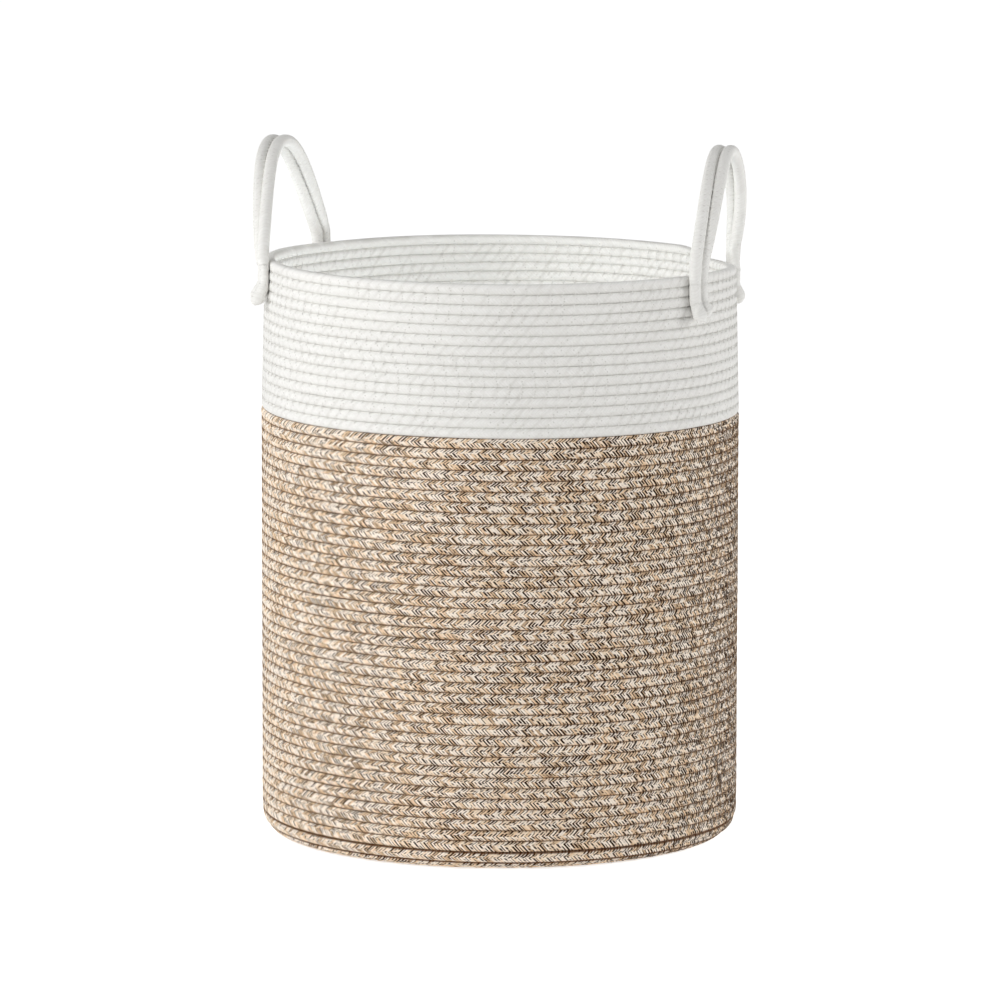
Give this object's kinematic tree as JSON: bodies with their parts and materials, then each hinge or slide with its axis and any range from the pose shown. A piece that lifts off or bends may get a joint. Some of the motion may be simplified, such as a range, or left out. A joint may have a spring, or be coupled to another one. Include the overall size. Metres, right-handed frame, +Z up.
{
  "type": "rope laundry basket",
  "caption": "Tall round laundry basket coiled from braided cotton rope, brown below and white above, open at the top, with two stand-up rope handles that bend at the rim.",
  "frame": {"origin": "centre of the base's underside, on the floor", "axes": "+Z up, handles on +X (right) and -X (left), front towards -Y"},
  "size_m": [0.3851, 0.38, 0.5541],
  "materials": {
    "brown_rope": "matt braided cotton, cream, tan and brown yarns mixed",
    "white_rope": "matt braided cotton, natural white",
    "brown_thread": "matt twisted sewing thread",
    "white_thread": "matt twisted sewing thread"
  },
  "bodies": {
    "basket": {"base_coil": "brown_rope", "base_stitching": "brown_thread", "lower_wall_coil": "brown_rope", "lower_wall_stitching": "brown_thread", "upper_wall_coil": "white_rope", "upper_wall_stitching": "white_thread", "rim_coil": "white_rope", "rope_join_tack": "white_thread", "rim_end_tack": "white_thread", "right_front_inner_end": "white_rope", "right_front_outer_end": "white_rope", "right_front_tacks": "white_thread", "right_back_inner_end": "white_rope", "right_back_outer_end": "white_rope", "right_back_tacks": "white_thread", "left_front_inner_end": "white_rope", "left_front_outer_end": "white_rope", "left_front_tacks": "white_thread", "left_back_inner_end": "white_rope", "left_back_outer_end": "white_rope", "left_back_tacks": "white_thread"},
    "right_handle": {"right_inner_strand": "white_rope", "right_outer_strand": "white_rope", "right_seam_thread": "white_thread"},
    "left_handle": {"left_inner_strand": "white_rope", "left_outer_strand": "white_rope", "left_seam_thread": "white_thread"}
  },
  "joints": [
    {"name": "right_handle_bend", "type": "hinge", "parent": "basket", "child": "right_handle", "pos_m": [0.17558, 0, 0.46682], "axis": [0, 1, 0], "range_deg": [-75, 80]},
    {"name": "left_handle_bend", "type": "hinge", "parent": "basket", "child": "left_handle", "pos_m": [-0.17274, 0, 0.46682], "axis": [0, -1, 0], "range_deg": [-75, 80]}
  ]
}
